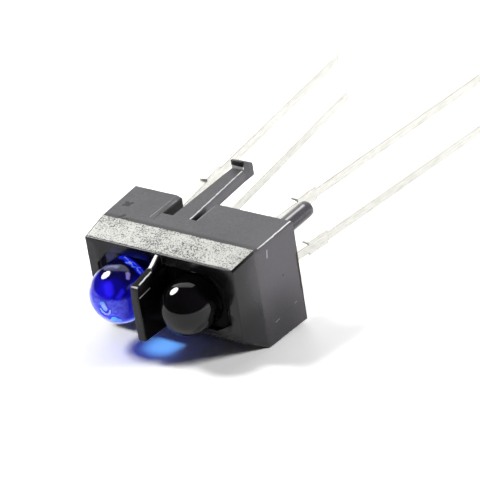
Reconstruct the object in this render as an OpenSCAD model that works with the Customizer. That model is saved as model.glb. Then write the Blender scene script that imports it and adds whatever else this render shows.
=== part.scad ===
// Reflective optical sensor: an infrared emitter and a phototransistor side by side in one
// black clip-in housing, each moulded in its own lens body on two long solder leads.
// Millimetres. The origin is the middle of the seating face, which meets the circuit board.
// The lenses look along -Y, the leads run along +Y and the marked long side faces +Z.

/* [Housing] */
// Length of the seating face
body_len = 10.2; // [9.9:0.1:12]
// Width of the seating face
body_wid = 5.9; // [5.7:0.1:7]
// Depth from the seating face to the lens face
body_deep = 4.95; // [4.7:0.05:5.3]
// Depth from the seating face to the fold line of the walls
fold_deep = 3.09; // [2.8:0.01:3.4]
// Inward draft of each end wall at the fold line
end_draft = 0.17; // [0.05:0.01:0.25]
// Inward draft of each long wall at the fold line
side_draft = 0.03; // [0.01:0.01:0.08]
// Further inset of each end wall at the lens face
end_inset = 0.18; // [0.1:0.01:0.25]
// Further inset of the marked wall at the lens face
marked_inset = 0.25; // [0.1:0.01:0.35]
// Further inset of the under wall at the lens face
under_inset = 1.3; // [0.6:0.05:1.35]
// Radius of the moulded corners
corner_r = 0.1; // [0.05:0.01:0.15]
// Bevel round the lens face
face_bevel = 0.04; // [0.02:0.01:0.07]
// Thickness of the wall that the lenses look through
lens_wall = 0.35; // [0.25:0.05:0.5]

/* [Windows] */
// Half width of each window in the lens face
window_half = 1.98; // [1.85:0.01:2]
// Width of the cut at a window's upper outer corner
upper_cut_w = 0.8; // [0.4:0.05:1]
// Height of the cut at a window's upper outer corner
upper_cut_h = 0.85; // [0.4:0.05:1]
// Width of the cut at a window's lower outer corner
lower_cut_w = 1.0; // [0.4:0.05:1.1]
// Height of the cut at a window's lower outer corner
lower_cut_h = 0.6; // [0.3:0.05:0.8]

/* [Light barrier] */
// Thickness of the barrier between the two lenses
barrier_thick = 0.5; // [0.4:0.02:0.6]
// Depth from the seating face to the tip of the barrier
barrier_reach = 7.28; // [6.8:0.02:7.6]
// Height of the barrier's top edge where it meets the lens face
barrier_root_z = 2.6; // [2.4:0.05:2.65]
// Depth of the steep first stretch of the top edge
barrier_steep = 0.68; // [0.4:0.02:0.9]
// Height of the top edge at the end of the steep stretch
barrier_knee_z = 2.2; // [2.1:0.02:2.3]
// Height of the top edge at the tip
barrier_top_z = 1.94; // [1.6:0.02:2.05]
// Height of the under edge at the tip
barrier_low_z = -1.27; // [-1.4:0.01:-0.9]
// Height of the under edge at the lens face
barrier_base_z = -1.42; // [-1.5:0.01:-1.2]
// Set-back of the tip's upper corner
barrier_rake = 0.1; // [0.02:0.01:0.2]
// Height of the crease from which the barrier thins upwards
barrier_crease_z = 1.36; // [1:0.02:1.6]
// Thickness lost on each face from the crease to the top edge
barrier_thin = 0.05; // [0.02:0.01:0.1]

/* [Snap hooks] */
// Distance of the straight edge of a hook arm from the middle
hook_x = 1.3; // [1.2:0.02:1.36]
// Width of a hook arm at its root
hook_root_w = 1.15; // [0.9:0.05:1.2]
// Width of a hook arm at its tip
hook_tip_w = 0.78; // [0.6:0.02:0.85]
// Thickness of a hook arm at its root
hook_root_t = 0.7; // [0.5:0.05:0.7]
// Thickness of a hook arm at its tip, under the barb
hook_tip_t = 0.75; // [0.5:0.05:0.85]
// Depth of the slots beside a hook arm, from the seating face
slot_deep = 1.8; // [1.4:0.05:2.1]
// Distance from the seating face to the barb's catch face
hook_grip = 3.55; // [3:0.05:4]
// Length of the barb's flat crest
barb_crest = 0.12; // [0.05:0.01:0.2]
// Length of the barb with its ramp
barb_len = 0.9; // [0.6:0.05:1.2]
// Height of the barb above the arm
barb_rise = 0.48; // [0.3:0.02:0.55]
// Gap beside the straight edge of a hook arm
slot_outer_gap = 0.7; // [0.4:0.05:0.8]
// Distance from the middle to the other side of the slot
slot_far_x = 0.26; // [0.1:0.02:0.4]
// Gap under a hook arm, into which it bends
slot_under_gap = 0.3; // [0.2:0.05:0.4]
// Width of the bevel that opens the slot's edge at the seating face
slot_bevel = 0.3; // [0.15:0.01:0.4]
// Depth of that bevel at the slot's edge
slot_bevel_drop = 0.1; // [0.05:0.01:0.2]
// Distance that the bevel runs past the slot's closed end
slot_bevel_run = 0.65; // [0.3:0.05:0.8]

/* [Locating pins] */
// Diameter of each locating pin
pin_d = 0.9; // [0.7:0.02:0.92]
// Length of each locating pin
pin_len = 2.3; // [1.6:0.1:2.6]
// Distance of the pins from the middle along the housing
pin_x = 4.44; // [4.42:0.01:4.5]
// Distance of the pins from the middle across the housing
pin_z = 2.43; // [2.38:0.01:2.44]
// Radius of the rounded end of each pin
pin_end_r = 0.3; // [0.1:0.02:0.34]

/* [Lens bodies] */
// Distance of each package axis from the middle, at the seating face
pack_x = 2.58; // [2.56:0.01:2.65]
// Height of the package axes
pack_z = 0.42; // [0.38:0.01:0.46]
// Inward tilt of each package axis, in degrees
pack_tilt = 4.7; // [4:0.1:5.4]
// Thickness of a lens body's block
pack_thick = 3.1; // [3:0.02:3.14]
// Width of a lens body's block, across both leads
pack_wide = 3.5; // [3.44:0.01:3.54]
// Length of a lens body's block
pack_len = 2.6; // [2.4:0.05:2.8]
// Radius on the long edges of the block
pack_edge_r = 0.3; // [0.2:0.02:0.4]
// Radius of the emitter's dome
emitter_dome_r = 1.6; // [1.5:0.01:1.62]
// Radius of the detector's dome
detector_dome_r = 1.47; // [1.4:0.01:1.56]
// Distance of the emitter dome's centre from the seating face
emitter_reach = 5.95; // [5.6:0.01:6.1]
// Distance of the detector dome's centre from the seating face
detector_reach = 5.76; // [5.5:0.01:6]

/* [Leads] */
// Distance between the two leads of a package
lead_pitch = 2.54; // [2.4:0.02:2.6]
// Thickness of the lead sheet
lead_thick = 0.45; // [0.35:0.01:0.5]
// Width of a lead
lead_wide = 0.5; // [0.4:0.02:0.55]
// Width of a lead at its cut tie bar
tie_wide = 0.76; // [0.6:0.02:0.9]
// Length of the wide stretch at the tie bar
tie_len = 1.5; // [1.2:0.05:2]
// Distance from the seating face to the wide stretch
tie_start = 3.25; // [3:0.05:4]
// Length of the shortest lead, the emitter's anode, beyond the seating face
lead_len = 18.3; // [12:0.1:20]
// Length that the emitter's cathode lead was cut longer
cathode_extra = 0.3; // [0:0.1:1.5]
// Length that the detector's collector lead was cut longer
collector_extra = 0.7; // [0:0.1:1.5]
// Length that the detector's emitter lead was cut longer
emitter_lead_extra = 0.9; // [0:0.1:1.5]
// Outward yaw of the anode lead where it leaves the lens body, in degrees
anode_yaw = 2.3; // [0:0.1:4]
// Outward yaw of its tail beyond the tie bar
anode_tail_yaw = 0.9; // [0:0.1:4]
// Outward yaw of the cathode lead where it leaves the lens body
cathode_yaw = 0.2; // [0:0.1:4]
// Outward yaw of its tail
cathode_tail_yaw = 1.4; // [0:0.1:4]
// Outward yaw of the collector lead where it leaves the lens body
collector_yaw = 0.1; // [0:0.1:4]
// Outward yaw of its tail
collector_tail_yaw = 1.4; // [0:0.1:4]
// Outward yaw of the detector's emitter lead where it leaves the lens body
emitter_lead_yaw = 3.6; // [0:0.1:4]
// Outward yaw of its tail
emitter_lead_tail_yaw = 2.3; // [0:0.1:4]

/* [Chips and wires] */
// Distance from a lens body's rear face to the front of its chip post
post_out = 1.75; // [1.65:0.05:1.8]
// Depth of a chip post along the package axis
post_deep = 0.65; // [0.5:0.05:0.8]
// Half width of a chip post
post_half = 0.55; // [0.5:0.01:0.6]
// Reach of the bond wire's shelf, inwards from the middle of its lead
shelf_in = 0.55; // [0.45:0.05:0.6]
// Depth of that shelf along the package axis
shelf_deep = 0.4; // [0.3:0.05:0.6]
// Distance from the shelf's edge to the landing of the bond wire
wire_inset = 0.1; // [0.06:0.01:0.14]
// Side of the emitter chip
emitter_chip_side = 0.34; // [0.25:0.01:0.38]
// Side of the detector chip
detector_chip_side = 0.62; // [0.5:0.01:0.66]
// Thickness of each chip
chip_thick = 0.18; // [0.12:0.01:0.25]
// Thickness of the conductive glue under each chip
glue_thick = 0.03; // [0.02:0.01:0.05]
// Diameter of the bond wires
wire_d = 0.04; // [0.03:0.005:0.06]
// Height of the bond wire's straight rise above the higher of its two ends
wire_rise = 0.1; // [0.05:0.01:0.15]
// Diameter of the glue under a chip, as a share of the chip's side
glue_share = 1.2; // [1.1:0.02:1.3]
// Depth of the reflector cup that holds the emitter chip
cup_deep = 0.25; // [0.2:0.01:0.3]
// Radius of the reflector cup at its floor
cup_floor_r = 0.3; // [0.28:0.01:0.32]
// Radius of the reflector cup at its mouth
cup_mouth_r = 0.46; // [0.42:0.01:0.48]

/* [Marking] */
// Thickness of the hot-stamped foil
foil_thick = 0.02; // [0.01:0.005:0.04]
// Margin between the foil and the edges of its facet
foil_margin = 0.03; // [0.02:0.01:0.08]

/* [Hidden] */

// Smoothness of true round faces
$fn = 48;
// Smoothness of the small rounds that are drawn as short flats
round_steps = 4;
// Smoothness of the bond wires
wire_fn = 16;
// Thickness of the slices that the tapered shell is stretched over
slice = 0.01;
// Overlap that makes joined volumes one, and cuts run clear through
bite = 0.2;
// Overrun of the tilted pocket cuts past both faces of the housing
overrun = 0.6;
// Gap round each lens body in its pocket
pocket_gap = 0.05;
// Gap round each dome in its window
window_gap = 0.04;

half_len = body_len / 2;
half_wid = body_wid / 2;
// Half length and half width at the fold line
fold_half_len = half_len - end_draft;
fold_half_wid = half_wid - side_draft;
// Half length and the two wall heights at the lens face
face_half_len = fold_half_len - end_inset;
face_top_z = fold_half_wid - marked_inset;
face_low_z = -fold_half_wid + under_inset;

// Depth at which the shoulders of the lens bodies seat behind the lens wall
shoulder_deep = body_deep - lens_wall;
// Depth of the rear faces of the lens bodies
pack_rear_deep = shoulder_deep - pack_len;
// Half height of each window, which clears the larger dome
window_half_h = max(emitter_dome_r, detector_dome_r) + window_gap;

// Room that a hook slot takes below the surface of its wall
slot_under = hook_root_t + slot_under_gap;

// Depth of the front faces of the chip posts and of the wire shelves
post_front_deep = pack_rear_deep + post_out;
// Seat of each chip in front of its post: the emitter's lies in the cup
emitter_seat_deep = post_front_deep - cup_deep;
detector_seat_deep = post_front_deep;
// Distance from the package axis to the landing of the bond wire on the shelf
wire_land = lead_pitch / 2 - shelf_in + wire_inset;

// Corner points of a rectangle with rounded corners, from (x0, y0) to (x1, y1)
function round_box(x0, y0, x1, y1, r) = [
    for (c = [[x1 - r, y1 - r, 0], [x0 + r, y1 - r, 90], [x0 + r, y0 + r, 180], [x1 - r, y0 + r, 270]])
        for (i = [0:round_steps])
            let (a = c[2] + 90 * i / round_steps)
                [c[0] + r * cos(a), c[1] + r * sin(a)]
];

// Stands an outline drawn as (X, Z) upright and gives it a length along Y, from y0 to y1
module along_y(y0, y1) {
    translate([0, y1, 0])
        rotate([90, 0, 0])
            linear_extrude(height = y1 - y0)
                children();
}

// Stands an outline drawn as (Y, Z) upright and gives it a width along X, from x0 to x1
module along_x(x0, x1) {
    translate([x0, 0, 0])
        rotate([90, 0, 90])
            linear_extrude(height = x1 - x0)
                children();
}

// Puts a shape drawn round the Y axis on the tilted axis of a package.
// The emitter's side is -1 and the detector's is 1.
module on_package(side) {
    translate([side * pack_x, 0, pack_z])
        rotate([0, 0, -side * pack_tilt])
            children();
}

// Repeats a shape at half a turn about the Y axis, for the diagonal pairs
module diagonal_pair() {
    children();
    rotate([0, 180, 0])
        children();
}

// One thin slice of the shell, with its front at depth d
module shell_slice(d, hx, z0, z1) {
    along_y(-d, -d + slice)
        polygon(round_box(-hx, z0, hx, z1, corner_r));
}

// The outer form: drafted walls up to the fold line, then steeper ones up to the lens face
module shell() {
    hull() {
        shell_slice(slice, half_len, -half_wid, half_wid);
        shell_slice(fold_deep, fold_half_len, -fold_half_wid, fold_half_wid);
        shell_slice(body_deep - face_bevel, face_half_len, face_low_z, face_top_z);
        shell_slice(
            body_deep,
            face_half_len - face_bevel,
            face_low_z + face_bevel,
            face_top_z - face_bevel
        );
    }
}

// Pocket that takes one lens body from behind, and the window that its dome looks through
module pocket(side) {
    half_t = pack_thick / 2 + pocket_gap;
    half_w = pack_wide / 2 + pocket_gap;
    on_package(side) {
        along_y(-shoulder_deep, overrun)
            polygon(round_box(-half_t, -half_w, half_t, half_w, pack_edge_r));
        along_y(-body_deep - overrun, -shoulder_deep)
            scale([side, 1])
                polygon([
                    [-window_half, -window_half_h],
                    [window_half - lower_cut_w, -window_half_h],
                    [window_half, -window_half_h + lower_cut_h],
                    [window_half, window_half_h - upper_cut_h],
                    [window_half - upper_cut_w, window_half_h],
                    [-window_half, window_half_h]
                ]);
    }
}

// Clearance round one hook arm: a slot open at the seating face, with one edge bevelled
module hook_slot() {
    edge_x = -hook_x - slot_outer_gap;
    translate([edge_x, -slot_deep, half_wid - slot_under])
        cube([slot_far_x - edge_x, slot_deep + bite, slot_under + bite]);
    hull() {
        translate([edge_x, bite, half_wid])
            rotate([90, 0, 0])
                linear_extrude(height = bite)
                    polygon([[-slot_bevel, bite], [-slot_bevel, 0], [0, -slot_bevel_drop], [slice, bite]]);
        translate([edge_x, -slot_deep - slot_bevel_run, half_wid - side_draft])
            rotate([90, 0, 0])
                linear_extrude(height = slice)
                    polygon([[-slice, bite], [-slice, 0], [0, -slice], [slice, bite]]);
    }
}

// One snap hook: a tapered arm that springs from the closed end of its slot and ends in a barb
module hook() {
    tip_y = hook_grip + barb_len;
    top_z = half_wid - side_draft;
    intersection() {
        // Side view
        along_x(-hook_x - bite, slot_far_x)
            polygon([
                [-slot_deep - bite, top_z - hook_root_t],
                [-slot_deep, top_z - hook_root_t],
                [tip_y, top_z - hook_tip_t],
                [tip_y, top_z],
                [hook_grip + barb_crest, top_z + barb_rise],
                [hook_grip, top_z + barb_rise],
                [hook_grip, top_z],
                [-slot_deep - bite, top_z]
            ]);
        // Plan view
        translate([0, 0, top_z - hook_root_t - bite])
            linear_extrude(height = hook_root_t + barb_rise + 2 * bite)
                polygon([
                    [-hook_x, -slot_deep - bite],
                    [-hook_x + hook_root_w, -slot_deep - bite],
                    [-hook_x + hook_root_w, -slot_deep],
                    [-hook_x + hook_tip_w, hook_grip],
                    [-hook_x + hook_tip_w, tip_y],
                    [-hook_x, tip_y]
                ]);
    }
}

// One locating pin with its rounded end
module locating_pin() {
    translate([pin_x, -bite, pin_z])
        rotate([-90, 0, 0])
            rotate_extrude()
                polygon(concat(
                    [[0, 0], [pin_d / 2, 0]],
                    [for (i = [0:round_steps])
                        let (a = 90 * i / round_steps)
                            [
                                pin_d / 2 - pin_end_r + pin_end_r * cos(a),
                                pin_len + bite - pin_end_r + pin_end_r * sin(a)
                            ]
                    ],
                    [[0, pin_len + bite]]
                ));
}

// Opaque web between the lenses: its side view, thinned above the crease
module barrier() {
    half_t = barrier_thick / 2;
    root_deep = shoulder_deep - bite;
    knee_deep = body_deep + barrier_steep;
    intersection() {
        along_x(-half_t, half_t)
            polygon([
                [-root_deep, barrier_base_z],
                [-body_deep, barrier_base_z],
                [-barrier_reach, barrier_low_z],
                [-barrier_reach, barrier_crease_z],
                [-barrier_reach + barrier_rake, barrier_top_z],
                [-knee_deep, barrier_knee_z],
                [-body_deep, barrier_root_z],
                [-root_deep, barrier_root_z]
            ]);
        along_y(-barrier_reach, -root_deep)
            polygon([
                [-half_t, barrier_base_z],
                [half_t, barrier_base_z],
                [half_t, barrier_crease_z],
                [half_t - barrier_thin, barrier_root_z],
                [-half_t + barrier_thin, barrier_root_z],
                [-half_t, barrier_crease_z]
            ]);
    }
}

// The whole black moulding
module housing() {
    color("#26262a") {
        difference() {
            shell();
            pocket(-1);
            pocket(1);
            diagonal_pair()
                hook_slot();
        }
        diagonal_pair() {
            hook();
            locating_pin();
        }
        barrier();
    }
}

// Silver foil stamped on the sloping facet of the marked long wall
module marking_foil() {
    facet_deep = body_deep - face_bevel - fold_deep;
    slope = marked_inset / facet_deep;
    fore = body_deep - face_bevel - foil_margin / 2;
    aft = fold_deep + foil_margin / 2;
    // Height of the facet at a depth behind the seating face
    function facet_z(d) = fold_half_wid - (d - fold_deep) * slope;
    // Half length of the facet there, less the margin
    function facet_x(d) = fold_half_len - (d - fold_deep) * end_inset / facet_deep - corner_r - foil_margin;
    color("#d5d6d4") {
        intersection() {
            along_x(-half_len, half_len)
                polygon([
                    [-fore, facet_z(fore)],
                    [-aft, facet_z(aft)],
                    [-aft, facet_z(aft) + foil_thick],
                    [-fore, facet_z(fore) + foil_thick]
                ]);
            translate([0, 0, face_top_z - bite])
                linear_extrude(height = marked_inset + 2 * bite)
                    polygon([
                        [-facet_x(fore), -fore],
                        [facet_x(fore), -fore],
                        [facet_x(aft), -aft],
                        [-facet_x(aft), -aft]
                    ]);
        }
    }
}

// Outer form of one lens body: a block with rounded long edges and a dome on its shoulder
module lens_form(dome_r, reach) {
    half_t = pack_thick / 2;
    half_w = pack_wide / 2;
    along_y(-shoulder_deep, -pack_rear_deep)
        polygon(round_box(-half_t, -half_w, half_t, half_w, pack_edge_r));
    translate([0, -shoulder_deep + bite, 0])
        rotate([90, 0, 0])
            cylinder(r = dome_r, h = reach - shoulder_deep + bite);
    translate([0, -reach, 0])
        sphere(r = dome_r);
}

// Turns a stretch of lead outwards about the point of the lead at distance y from the seat
module turn_out(side, row, y, yaw) {
    translate([0, y, row * lead_pitch / 2])
        rotate([0, 0, -side * yaw])
            children();
}

// A straight bar of lead sheet along +Y, centred on the lead's axis
module lead_bar(wide, length) {
    translate([-lead_thick / 2, 0, -wide / 2])
        cube([lead_thick, length, wide]);
}

// Stem, tie-bar stretch and tail of one lead; row is 1 for the upper lead and -1 for the lower
module lead_run(side, row, length, yaw, tail_yaw) {
    run_len = pack_rear_deep + tie_start + tie_len;
    translate([0, -post_front_deep, row * lead_pitch / 2])
        lead_bar(lead_wide, post_out);
    turn_out(side, row, -pack_rear_deep, yaw) {
        lead_bar(lead_wide, run_len);
        translate([0, run_len - tie_len, 0])
            lead_bar(tie_wide, tie_len);
        translate([0, run_len - lead_thick, 0])
            rotate([0, 0, side * (yaw - tail_yaw)])
                lead_bar(lead_wide, length - tie_start - tie_len + lead_thick);
    }
}

// Upper lead, whose post reaches over to the package axis and carries the chip
module post_lead(side, length, yaw, tail_yaw, with_cup) {
    lead_run(side, 1, length, yaw, tail_yaw);
    difference() {
        translate([-post_half, -post_front_deep, -post_half])
            cube([2 * post_half, post_deep, lead_pitch / 2 + lead_wide / 2 + post_half]);
        if (with_cup)
            translate([0, -emitter_seat_deep, 0])
                rotate([90, 0, 0])
                    cylinder(r1 = cup_floor_r, r2 = cup_mouth_r, h = cup_deep);
    }
}

// Lower lead, which takes the bond wire on a small shelf
module shelf_lead(side, length, yaw, tail_yaw) {
    lead_run(side, -1, length, yaw, tail_yaw);
    translate([-lead_thick / 2, -post_front_deep, -lead_pitch / 2 - lead_wide / 2])
        cube([lead_thick, shelf_deep, shelf_in + lead_wide / 2]);
}

module emitter_anode_lead() {
    color("#c9cbcc")
        on_package(-1)
            post_lead(-1, lead_len, anode_yaw, anode_tail_yaw, true);
}

module emitter_cathode_lead() {
    color("#c9cbcc")
        on_package(-1)
            shelf_lead(-1, lead_len + cathode_extra, cathode_yaw, cathode_tail_yaw);
}

module detector_collector_lead() {
    color("#c9cbcc")
        on_package(1)
            post_lead(1, lead_len + collector_extra, collector_yaw, collector_tail_yaw, false);
}

module detector_emitter_lead() {
    color("#c9cbcc")
        on_package(1)
            shelf_lead(1, lead_len + emitter_lead_extra, emitter_lead_yaw, emitter_lead_tail_yaw);
}

// A square chip on its layer of glue, with its back on the seat at depth d
module chip(side_len, d) {
    translate([-side_len / 2, -d - glue_thick - chip_thick, -side_len / 2])
        cube([side_len, chip_thick, side_len]);
}

module chip_glue(side_len, d) {
    translate([0, -d, 0])
        rotate([90, 0, 0])
            cylinder(d = side_len * glue_share, h = glue_thick);
}

module emitter_chip() {
    color("#4a4450")
        on_package(-1)
            chip(emitter_chip_side, emitter_seat_deep);
}

module detector_chip() {
    color("#343a4c")
        on_package(1)
            chip(detector_chip_side, detector_seat_deep);
}

module emitter_chip_glue() {
    color("#9a9a98")
        on_package(-1)
            chip_glue(emitter_chip_side, emitter_seat_deep);
}

module detector_chip_glue() {
    color("#9a9a98")
        on_package(1)
            chip_glue(detector_chip_side, detector_seat_deep);
}

// Bond wire: up from the chip's face, a half circle over, and down to the shelf of the other lead
module bond_wire(seat_deep) {
    chip_face = seat_deep + glue_thick + chip_thick;
    top_deep = max(chip_face, post_front_deep) + wire_rise;
    translate([0, -chip_face, 0])
        rotate([90, 0, 0])
            cylinder(d = wire_d, h = top_deep - chip_face, $fn = wire_fn);
    translate([0, -post_front_deep, -wire_land])
        rotate([90, 0, 0])
            cylinder(d = wire_d, h = top_deep - post_front_deep, $fn = wire_fn);
    translate([0, -top_deep, -wire_land / 2])
        rotate([0, -90, 180])
            rotate_extrude(angle = 180)
                translate([wire_land / 2, 0])
                    circle(d = wire_d, $fn = wire_fn);
}

module emitter_bond_wire() {
    color("#d8b250")
        on_package(-1)
            bond_wire(emitter_seat_deep);
}

module detector_bond_wire() {
    color("#d8b250")
        on_package(1)
            bond_wire(detector_seat_deep);
}

// Clear blue epoxy, cast round the emitter's leads, chip and wire
module emitter_lens_body() {
    color("#1c2fd8")
        difference() {
            on_package(-1)
                lens_form(emitter_dome_r, emitter_reach);
            emitter_anode_lead();
            emitter_cathode_lead();
            emitter_chip();
            emitter_chip_glue();
            emitter_bond_wire();
        }
}

// Black epoxy that passes only infrared, cast round the detector's leads, chip and wire
module detector_lens_body() {
    color("#141216")
        difference() {
            on_package(1)
                lens_form(detector_dome_r, detector_reach);
            detector_collector_lead();
            detector_emitter_lead();
            detector_chip();
            detector_chip_glue();
            detector_bond_wire();
        }
}

housing();
marking_foil();
emitter_lens_body();
detector_lens_body();
emitter_anode_lead();
emitter_cathode_lead();
detector_collector_lead();
detector_emitter_lead();
emitter_chip();
detector_chip();
emitter_chip_glue();
detector_chip_glue();
emitter_bond_wire();
detector_bond_wire();
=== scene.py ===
"""Dresses the reflective optical sensor: finishes, softened edges, lenses, leads, floor, light and camera."""

import logging
from dataclasses import dataclass
from enum import Enum
from math import cos, pi, radians, sin, tan
from typing import Callable

import bmesh
import bpy
from mathutils import Matrix, Vector


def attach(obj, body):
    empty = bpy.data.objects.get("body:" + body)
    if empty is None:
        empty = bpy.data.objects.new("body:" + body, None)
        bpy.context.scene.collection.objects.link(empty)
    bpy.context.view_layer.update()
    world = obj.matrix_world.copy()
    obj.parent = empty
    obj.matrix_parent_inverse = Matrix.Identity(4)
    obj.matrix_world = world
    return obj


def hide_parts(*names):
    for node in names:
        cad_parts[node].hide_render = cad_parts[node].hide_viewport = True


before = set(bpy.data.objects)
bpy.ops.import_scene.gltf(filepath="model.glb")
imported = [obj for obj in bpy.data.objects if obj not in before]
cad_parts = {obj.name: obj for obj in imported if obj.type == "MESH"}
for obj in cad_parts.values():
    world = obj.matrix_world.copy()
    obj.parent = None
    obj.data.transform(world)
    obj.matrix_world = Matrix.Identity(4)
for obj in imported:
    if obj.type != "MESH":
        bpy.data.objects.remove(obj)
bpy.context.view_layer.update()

logging.basicConfig(level=logging.INFO, format="%(message)s")
log = logging.getLogger("sensor")

MM = 0.001
# Corners nearer than this are one, and a corner this near a plane lies on it.
MERGE_MM = 0.0005
ON_PLANE_MM = 0.001
# Faces that meet at less than the first angle are one flat face; edges that turn by more than the second are rounded.
FLAT_DEG = 0.5
SHARP_DEG = 28.0

Point = tuple[float, float, float]
# Where a change starts and ends, or the lowest and highest value of a finish.
Pair = tuple[float, float]
Colour = tuple[float, float, float, float]
Tree = bpy.types.NodeTree
Socket = bpy.types.NodeSocket
Material = bpy.types.Material
BMesh = bmesh.types.BMesh

# Settings that many nodes share.
SMOOTH = {"interpolation_type": "SMOOTHSTEP"}
COLOURS = {"data_type": "RGBA"}
FLOATS = {"data_type": "FLOAT"}
PLUS = {"operation": "ADD"}
LESS = {"operation": "SUBTRACT"}
TIMES = {"operation": "MULTIPLY"}
TIMES_PLUS = {"operation": "MULTIPLY_ADD"}
LARGER = {"operation": "MAXIMUM"}
SCALED = {"operation": "SCALE"}
DOT = {"operation": "DOT_PRODUCT"}
DISTANCE = {"operation": "DISTANCE"}

# Ranges: a share, the same turned round, and where nearly all of a noise texture's values lie.
WHOLE = (0.0, 1.0)
FALLING = (1.0, 0.0)
NOISE_SPAN = (0.3, 0.7)


class Side(Enum):
    """The two packages: the blue emitter stands on -X and the black detector on +X."""

    EMITTER = -1
    DETECTOR = 1


class Node(Enum):
    """The kinds of shader node that the finishes are made of."""

    ADD_SHADER = "ShaderNodeAddShader"
    BACKGROUND = "ShaderNodeBackground"
    BEVEL = "ShaderNodeBevel"
    BUMP = "ShaderNodeBump"
    CLAMP = "ShaderNodeClamp"
    COMBINE = "ShaderNodeCombineColor"
    COORDINATES = "ShaderNodeTexCoord"
    DIFFUSE = "ShaderNodeBsdfDiffuse"
    GEOMETRY = "ShaderNodeNewGeometry"
    LAYER_WEIGHT = "ShaderNodeLayerWeight"
    LIGHT_PATH = "ShaderNodeLightPath"
    MAPPING = "ShaderNodeMapping"
    MATHS = "ShaderNodeMath"
    MIX = "ShaderNodeMix"
    MIX_SHADER = "ShaderNodeMixShader"
    NOISE = "ShaderNodeTexNoise"
    OUTPUT = "ShaderNodeOutputMaterial"
    PRINCIPLED = "ShaderNodeBsdfPrincipled"
    RANGE = "ShaderNodeMapRange"
    SEPARATE = "ShaderNodeSeparateXYZ"
    TRANSLUCENT = "ShaderNodeBsdfTranslucent"
    TRANSPARENT = "ShaderNodeBsdfTransparent"
    VECTOR = "ShaderNodeVectorMath"
    WORLD_OUTPUT = "ShaderNodeOutputWorld"


def linear(hex_code: str) -> Colour:
    """Turns an sRGB hex colour into the linear colour that shaders take.

    Args:
        hex_code: six hex digits with a leading hash.

    Returns:
        Red, green, blue and an alpha of 1.
    """
    digits = hex_code.lstrip("#")
    channels = [int(digits[i : i + 2], 16) / 255 for i in (0, 2, 4)]
    curve = [c / 12.92 if c <= 0.04045 else ((c + 0.055) / 1.055) ** 2.4 for c in channels]
    return (curve[0], curve[1], curve[2], 1.0)


def grey(level: float) -> Colour:
    """A linear grey of one level."""
    return (level, level, level, 1.0)


def per_mm(size_mm: float) -> float:
    """The texture scale at which one cell of a pattern is about size_mm wide."""
    return 1.0 / (size_mm * MM)


def span(given: Pair, made: Pair = WHOLE) -> dict[str, float]:
    """The socket values that turn one range into another."""
    return {"From Min": given[0], "From Max": given[1], "To Min": made[0], "To Max": made[1]}


def layers(cover: Socket | float, under: Socket | Colour, over: Socket | Colour) -> dict[int, object]:
    """The socket values that lay one colour over another."""
    return {0: cover, 6: under, 7: over}


def add_node(
    tree: Tree,
    kind: Node,
    settings: dict[str, object] | None = None,
    sockets: dict[str | int, object] | None = None,
) -> bpy.types.Node:
    """Adds one node with its settings, socket values and links.

    Args:
        tree: the node tree that takes it.
        kind: the kind of node.
        settings: attributes of the node.
        sockets: for each input, a value or the output socket that feeds it.

    Returns:
        The new node.
    """
    node = tree.nodes.new(kind.value)
    for name, value in (settings or {}).items():
        setattr(node, name, value)
    for name, value in (sockets or {}).items():
        socket = node.inputs[name]
        if isinstance(value, Socket):
            tree.links.new(value, socket)
        else:
            socket.default_value = value
    return node


def new_material(name: str) -> tuple[Material, Tree]:
    """Makes an empty node material.

    Args:
        name: the material's name.

    Returns:
        The material and its node tree.
    """
    material = bpy.data.materials.new(name)
    material.use_nodes = True
    material.node_tree.nodes.clear()
    return material, material.node_tree


def waver(tree: Tree, at: Socket, sway_mm: float, distortion: float = 0.0, size_mm: float = 0.3) -> Socket:
    """Bends the coordinates a little, so that strokes aren't ruled lines.

    Args:
        tree: the material's node tree.
        at: the point, as Object coordinates.
        sway_mm: the most that a point moves from side to side.
        distortion: how far the bends fold over.
        size_mm: length of a bend.

    Returns:
        The bent coordinates.
    """
    bends = {"Vector": at, "Scale": per_mm(size_mm), "Detail": 2.0, "Distortion": distortion}
    ripple = add_node(tree, Node.NOISE, None, bends).outputs["Color"]
    pushed = add_node(tree, Node.VECTOR, TIMES_PLUS, {0: ripple, 1: (sway_mm * MM,) * 3, 2: at}).outputs[0]
    return add_node(tree, Node.VECTOR, LESS, {0: pushed, 1: (sway_mm / 2 * MM,) * 3}).outputs[0]


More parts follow.
